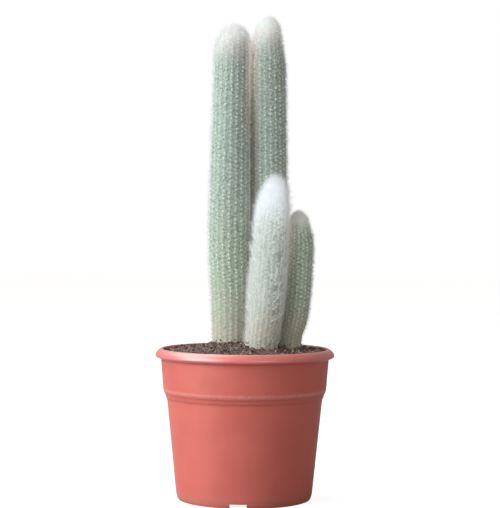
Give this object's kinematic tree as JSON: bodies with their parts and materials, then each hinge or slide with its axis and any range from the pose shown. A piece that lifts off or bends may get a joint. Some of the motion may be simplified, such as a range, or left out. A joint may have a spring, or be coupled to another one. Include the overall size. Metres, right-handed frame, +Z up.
{
  "type": "potted silver torch cactus",
  "caption": "Clump of ribbed columnar cactus stems with white bristly spines, standing in soil in a round tapered plastic nursery pot that rests on its foot ring.",
  "frame": {"origin": "middle of the pot's underside, on the surface that the foot ring rests on", "axes": "+Z up along the pot's axis and the stems; -Y is the front, where the short woolly stem and one drainage notch are; +X is the right"},
  "size_m": [0.17, 0.17, 0.4616],
  "materials": {
    "pot_plastic": "satin",
    "potting_soil": "matt and crumbly",
    "cactus_skin": "matt under white bristles"
  },
  "bodies": {
    "root": {"pot": "pot_plastic", "soil": "potting_soil", "stem_tall_left": "cactus_skin", "stem_tall_right": "cactus_skin", "stem_short_centre": "cactus_skin", "stem_short_right": "cactus_skin"}
  },
  "joints": []
}
